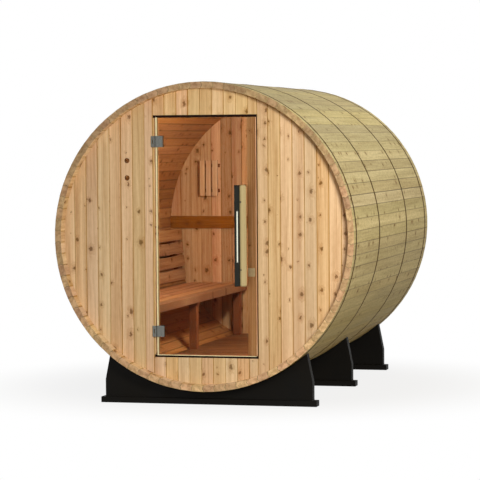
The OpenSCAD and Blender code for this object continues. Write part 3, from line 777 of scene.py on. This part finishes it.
class SAUNA_OT_hoops(bpy.types.Operator):
    """Builds the steel bands, drawn tight from corner to corner of the staves."""

    bl_idname = "sauna.hoops"
    bl_label = "Hoops"

    def execute(self, context):
        settings = context.scene.sauna_barrel
        ease = settings.band_ease
        for node in HOOP_NODES:
            low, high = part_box(node)
            outer = high.x
            inner = outer - settings.band_depth
            outline = [
                (inner, low.y), (outer - ease, low.y), (outer, low.y + ease),
                (outer, high.y - ease), (outer - ease, high.y), (inner, high.y),
            ]
            bm = bmesh.new()
            rings = []
            for number in range(settings.stave_count):
                angle = number * math.tau / settings.stave_count
                rings.append([
                    bm.verts.new((r * math.sin(angle), y, AXIS_Z + r * math.cos(angle))) for r, y in outline
                ])
            for ring, after in zip(rings, rings[1:] + rings[:1]):
                bridge(bm, ring, after)
            place_piece(bm, f"{node}_band", ROOT, ["steel_band_rolled"], [node])
        return {"FINISHED"}


class SAUNA_OT_cradles(bpy.types.Operator):
    """Builds the three painted cradles with eased edges."""

    bl_idname = "sauna.cradles"
    bl_label = "Cradles"

    def execute(self, context):
        for node in ("cradle_front", "cradle_middle", "cradle_rear"):
            dress(node, ROOT, "black_paint_brushed", along=0, ease=2.5 * MM)
        return {"FINISHED"}


class SAUNA_OT_end_walls(bpy.types.Operator):
    """Builds the tongued boards of both end walls."""

    bl_idname = "sauna.end_walls"
    bl_label = "End walls"

    def execute(self, context):
        outside, inside = "cedar_wall_planed", "cedar_rear_wall_planed"
        for node in ("front_wall_left", "front_wall_right", "front_wall_over_door", "front_wall_under_door"):
            dress(node, ROOT, outside, ease=0, behind=inside)
        for node in ("rear_wall_left", "rear_wall_right"):
            dress(node, ROOT, inside, ease=0, behind=outside)
        self.add_vent_shade_screens(context)
        return {"FINISHED"}

    def add_vent_shade_screens(self, context):
        """Stretches a brown wire screen across each vent, a little behind the face of the wall, as painted
        shade that darkens the hole.
        """
        settings = context.scene.sauna_barrel
        radius = settings.vent_radius
        wire, sunk = 0.8 * MM, 3 * MM
        pitch = radius / 5
        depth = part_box("front_wall_left")[0].y + sunk
        bm = bmesh.new()
        for height in (settings.vent_low, settings.vent_high):
            middle = Vector((-settings.vent_side, depth, height))
            for step in range(-4, 5):
                off = step * pitch
                reach = math.sqrt(radius * radius - off * off)
                for back, size in ((0, (reach, wire, wire)), (2 * wire, (wire, wire, reach))):
                    side = Vector((0, back, off)) if back == 0 else Vector((off, back, 0))
                    add_block(bm, middle + side - Vector(size), middle + side + Vector(size))
        place_piece(bm, "vent_screens_painted_shade", ROOT, ["brown_wire_painted_vent_shade"])


class SAUNA_OT_doorway(bpy.types.Operator):
    """Builds the jamb, the stops, the threshold and the catch."""

    bl_idname = "sauna.doorway"
    bl_label = "Doorway"

    def execute(self, context):
        dress("hinge_jamb", ROOT, "cedar_wall_planed")
        # The stops take a paler cedar, as painted light.
        dress("latch_stop", ROOT, "cedar_stop_painted_light")
        dress("head_stop", ROOT, "cedar_stop_painted_light", along=0)
        dress("threshold", ROOT, "cedar_stop_painted_light", along=0)
        dress("door_catch", ROOT, "nylon_catch_moulded")
        self.add_gap_shade_strip()
        return {"FINISHED"}

    def add_gap_shade_strip(self):
        """Lays a black strip on the stops, in the gap above, below and beside the glass, as painted shade in
        the gap.
        """
        low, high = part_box("door_glass")
        left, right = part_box("hinge_jamb")[0].x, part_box("latch_stop")[1].x
        bottom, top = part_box("threshold")[0].z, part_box("head_stop")[1].z
        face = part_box("latch_stop")[0].y
        under, aside, thick = 3 * MM, 4 * MM, 2 * MM
        strips = (
            ((left, top), (right, high.z - under)),
            ((left, low.z + under), (right, bottom)),
            ((high.x + aside, high.z - under), (right, low.z + under)),
        )
        bm = bmesh.new()
        for (x0, z0), (x1, z1) in strips:
            add_block(bm, (x0, face - thick, z1), (x1, face, z0))
        ease_edges(bm, 0.5 * MM)
        place_piece(bm, "gap_painted_shade", ROOT, ["black_strip_painted_gap_shade"])


class SAUNA_OT_hinges(bpy.types.Operator):
    """Builds both hinges with their screws."""

    bl_idname = "sauna.hinges"
    bl_label = "Hinges"

    def execute(self, context):
        steel = "stainless_steel_polished"
        for place in ("upper", "lower"):
            dress(f"hinge_{place}_leaf", ROOT, steel, ease=0.5 * MM)
            dress(f"hinge_{place}_clamp", DOOR, steel, ease=0.5 * MM)
            low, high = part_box(f"hinge_{place}_clamp")
            plate, inset, reach, radius = 10 * MM, 14 * MM, 20 * MM, 3.5 * MM
            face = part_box("door_glass")[0].y - plate
            bm = bmesh.new()
            for up in (low.z + inset, high.z - inset):
                socket_screw(bm, Vector((high.x - reach, face, up)), FORWARD, radius)
            place_piece(bm, f"hinge_{place}_screws", DOOR, [steel])
        return {"FINISHED"}


class SAUNA_OT_door(bpy.types.Operator):
    """Builds the glass and the handles on it."""

    bl_idname = "sauna.door"
    bl_label = "Door"

    def execute(self, context):
        dress("door_glass", DOOR, "bronze_glass_polished", ease=0.8 * MM)
        dress("handle_posts", DOOR, "stainless_steel_polished", ease=0)
        dress("handle_bar", DOOR, "stainless_steel_mirror", ease=3 * MM)
        dress("handle_grip", DOOR, "basswood_grip_sanded", ease=11 * MM)
        dress("handle_inner_grip", DOOR, "basswood_grip_sanded", ease=4 * MM)
        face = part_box("handle_grip")[0].y
        low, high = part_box("handle_posts")
        inset, aside, radius = 7 * MM, 3 * MM, 5 * MM
        bm = bmesh.new()
        for z in (low.z + inset, high.z - inset):
            socket_screw(bm, Vector(((low.x + high.x) / 2 + aside, face, z)), FORWARD, radius)
        place_piece(bm, "handle_screws", DOOR, ["steel_screw_blackened"])
        self.add_edge_highlight_strip()
        return {"FINISHED"}

    def add_edge_highlight_strip(self):
        """Clips a milky strip on the glass, up its hinge side between the clamps and along its foot, as a
        painted highlight of the light its edges catch.
        """
        low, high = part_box("door_glass")
        lower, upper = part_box("hinge_lower_clamp"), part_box("hinge_upper_clamp")
        skin, cap, lip, foot = 0.8 * MM, 1.5 * MM, 7 * MM, 4 * MM
        bm = bmesh.new()
        faces = ((low.y - skin, low.y), (high.y, high.y + skin))
        for z0, z1 in ((low.z, lower[0].z), (lower[1].z, upper[0].z), (upper[1].z, high.z)):
            for y0, y1 in faces:
                add_block(bm, (low.x - cap, y0, z0), (low.x + lip, y1, z1))
            add_block(bm, (low.x - cap, low.y, z0), (low.x, high.y, z1))
        for y0, y1 in faces:
            add_block(bm, (low.x + lip, y0, low.z), (high.x, y1, low.z + foot))
        ease_edges(bm, 0.25 * MM)
        place_piece(bm, "glass_edge_painted_highlight", DOOR, ["pale_strip_painted_edge_highlight"])


class SAUNA_OT_room(bpy.types.Operator):
    """Builds the floor, the bench, the backrest and the fittings of the rear wall."""

    bl_idname = "sauna.room"
    bl_label = "Room"

    def execute(self, context):
        for node, along, finish in (
            ("floor_slats", 0, "cedar_deck_worn"),
            ("floor_bearers", 1, "cedar_deck_worn"),
            ("seat_slats_left", 1, "cedar_slat_planed"),
            ("seat_bearers", 0, "cedar_frame_planed"),
            ("seat_legs", 2, "cedar_frame_planed"),
            ("backrest_slats", 1, "cedar_slat_planed"),
            ("backrest_uprights", 2, "cedar_frame_planed"),
            ("rear_batten", 0, "cedar_batten_planed"),
            ("lamp_rails", 0, "cedar_frame_planed"),
        ):
            dress(node, ROOT, finish, along=along, ease=3 * MM)
        dress("lamp_slats", ROOT, "cedar_shade_planed")
        return {"FINISHED"}


def add_lamp(name, at, towards, size, watts):
    """Adds a soft square lamp that the camera, mirrors and glass don't see."""
    light = bpy.data.lights.new(name, "AREA")
    light.shape = "SQUARE"
    light.size = size
    light.energy = watts
    lamp = bpy.data.objects.new(name, light)
    lamp.location = at
    lamp.rotation_euler = (Vector(towards) - Vector(at)).to_track_quat("-Z", "Y").to_euler()
    lamp.visible_camera = False
    lamp.visible_glossy = False
    lamp.visible_transmission = False
    bpy.context.scene.collection.objects.link(lamp)
    return lamp


def seen_directly(tree):
    """One for rays from the camera, off mirrors and through glass, and nothing for other light."""
    rays = add(tree, "LightPath", None, None)
    seen = rays["Is Camera Ray"]
    for kind in ("Is Glossy Ray", "Is Transmission Ray"):
        seen = add(tree, "Math", {0: seen, 1: rays[kind]}, operation="MAXIMUM")
    return seen


class SAUNA_OT_stage(bpy.types.Operator):
    """Sets the camera, the lamps, the white surroundings and the floor."""

    bl_idname = "sauna.stage"
    bl_label = "Stage"

    def execute(self, context):
        stage = context.scene.sauna_stage
        self.set_camera(context, stage)
        for name, at, towards, size, watts in (
            ("key_lamp", (2.5, -4.5, 1.9), (0.2, -1.0, 0.9), 1.0, stage.key_power),
            ("top_lamp", (2.6, 1.2, 5.2), (0.2, 0.2, 1.2), 3.0, stage.top_power),
            ("side_lamp", (4.5, 0.4, 3.2), (0.5, 0.2, 1.2), 2.0, stage.side_power),
            ("room_lamp", (0.42, -0.9, 1.45), (-0.4, 0.7, 1.15), 0.2, stage.room_power),
        ):
            add_lamp(name, at, towards, size, watts)
        strip_at, bar_at = (-0.538, -4.094, 0.871), (0.208, -1.196, 1.0)
        strip_wide, strip_tall = 0.058, 0.37
        strip = add_lamp("handle_strip_lamp", strip_at, bar_at, strip_wide, stage.strip_power)
        strip.data.shape = "RECTANGLE"
        strip.data.size_y = strip_tall
        strip.visible_glossy = True
        self.set_world(context, stage)
        self.set_floor(context, stage)
        context.scene.view_settings.view_transform = "Standard"
        return {"FINISHED"}

    def set_camera(self, context, stage):
        """Puts the camera where the photograph was taken from."""
        yaw, pitch, roll = stage.camera_yaw, stage.camera_pitch, stage.camera_roll
        right = Vector((math.cos(yaw), math.sin(yaw), 0))
        ahead = Vector((-math.sin(yaw) * math.cos(pitch), math.cos(yaw) * math.cos(pitch), math.sin(pitch)))
        up = right.cross(ahead)
        level = math.cos(roll) * right + math.sin(roll) * up
        upright = -math.sin(roll) * right + math.cos(roll) * up
        data = bpy.data.cameras.new("camera")
        data.sensor_width = 36
        data.lens = stage.lens
        data.clip_end = 100
        camera = bpy.data.objects.new("camera", data)
        turn = Matrix((level, upright, -ahead)).transposed().to_4x4()
        camera.matrix_world = Matrix.Translation(stage.camera_at) @ turn
        context.scene.collection.objects.link(camera)
        context.scene.camera = camera

    def set_world(self, context, stage):
        """White to the camera, to mirrors and through glass; an even soft light to everything else."""
        world = bpy.data.worlds.new("surroundings")
        tree = emptied_tree(world)
        strength = add(tree, "MapRange", {0: seen_directly(tree), 3: stage.ambient, 4: 1.0})
        glow = add(tree, "Background", {"Color": (1, 1, 1, 1), "Strength": strength})
        add(tree, "OutputWorld", {"Surface": glow}, None)
        context.scene.world = world

    def set_floor(self, context, stage):
        """A wide floor that is white to the camera and keeps a little of the shadow near the sauna."""
        bm = bmesh.new()
        bmesh.ops.create_grid(bm, x_segments=2, y_segments=2, size=30)
        mesh = bpy.data.meshes.new("floor")
        bm.to_mesh(mesh)
        bm.free()
        material = bpy.data.materials.new("studio_floor_matt")
        tree = emptied_tree(material)
        shadow_tone, near, far = (0.2, 0.14, 0.04, 1), 0.9, 2.2
        matt = add(tree, "BsdfDiffuse", {"Color": shadow_tone})
        white = add(tree, "Emission", {"Color": (1, 1, 1, 1), "Strength": 1.0})
        place = add(tree, "TexCoord", None, "Object")
        away = add(tree, "VectorMath", {0: place}, "Value", operation="LENGTH")
        plain = add(
            tree, "MapRange", {0: away, 1: near, 2: far, 3: 1 - stage.shadow, 4: 1.0},
            interpolation_type="SMOOTHSTEP",
        )
        part = add(tree, "Math", {0: seen_directly(tree), 1: plain}, operation="MULTIPLY")
        mixed = add(tree, "MixShader", {0: part, 1: matt, 2: white})
        add(tree, "OutputMaterial", {"Surface": mixed}, None)
        mesh.materials.append(material)
        floor = bpy.data.objects.new("floor", mesh)
        context.scene.collection.objects.link(floor)


class SAUNA_PT_build(bpy.types.Panel):
    """Lists the pieces that can be built."""

    bl_label = "Barrel sauna"
    bl_space_type = "VIEW_3D"
    bl_region_type = "UI"
    bl_category = "Sauna"

    def draw(self, context):
        for operator in OPERATORS:
            self.layout.operator(operator.bl_idname)
        for group in (getattr(context.scene, name) for name in GROUPS):
            box = self.layout.box()
            for name in group.bl_rna.properties.keys():
                if name not in ("rna_type", "name"):
                    box.prop(group, name)


OPERATORS = (
    SAUNA_OT_stage, SAUNA_OT_staves, SAUNA_OT_hoops, SAUNA_OT_cradles, SAUNA_OT_end_walls, SAUNA_OT_doorway,
    SAUNA_OT_hinges, SAUNA_OT_door, SAUNA_OT_room,
)
GROUPS = {
    "sauna_barrel": SaunaBarrelSettings,
    "sauna_wood": SaunaWoodSettings,
    "sauna_metal": SaunaMetalSettings,
    "sauna_stage": SaunaStageSettings,
}


def register():
    for group in GROUPS.values():
        bpy.utils.register_class(group)
    for name, group in GROUPS.items():
        setattr(bpy.types.Scene, name, bpy.props.PointerProperty(type=group))
    for item in (*OPERATORS, SAUNA_PT_build):
        bpy.utils.register_class(item)


def unregister():
    for item in reversed((*OPERATORS, SAUNA_PT_build)):
        bpy.utils.unregister_class(item)
    for name, group in GROUPS.items():
        delattr(bpy.types.Scene, name)
        bpy.utils.unregister_class(group)


def main():
    """Registers the classes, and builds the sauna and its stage."""
    register()
    for operator in OPERATORS:
        module, call = operator.bl_idname.split(".")
        getattr(getattr(bpy.ops, module), call)()


if __name__ == "__main__":
    main()
